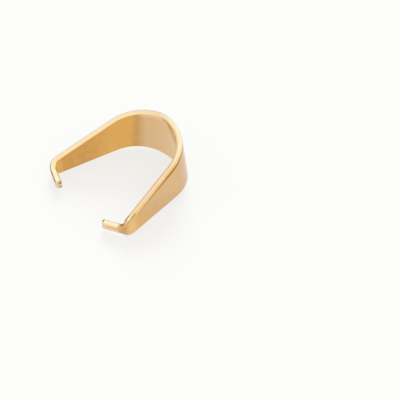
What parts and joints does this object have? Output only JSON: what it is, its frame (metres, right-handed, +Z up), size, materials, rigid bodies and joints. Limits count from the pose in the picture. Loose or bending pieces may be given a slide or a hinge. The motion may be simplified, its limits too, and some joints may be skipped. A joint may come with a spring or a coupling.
{
  "type": "pinch bail finding",
  "caption": "Pinch bail: a stamped strip bent into an open tapered loop whose inturned prongs grip a drilled bead or stone, so that it hangs on a chain or cord.",
  "frame": {"origin": "on the surface that the bail lies on, below the middle of its box", "axes": "+Z up from that surface, +Y towards the bow, -Y towards the prongs, X from leg to leg"},
  "size_m": [0.0074, 0.008, 0.0037],
  "materials": {
    "gold_plate": "polished gold plating over stamped brass"
  },
  "bodies": {
    "root": {"bail": "gold_plate"}
  },
  "joints": []
}
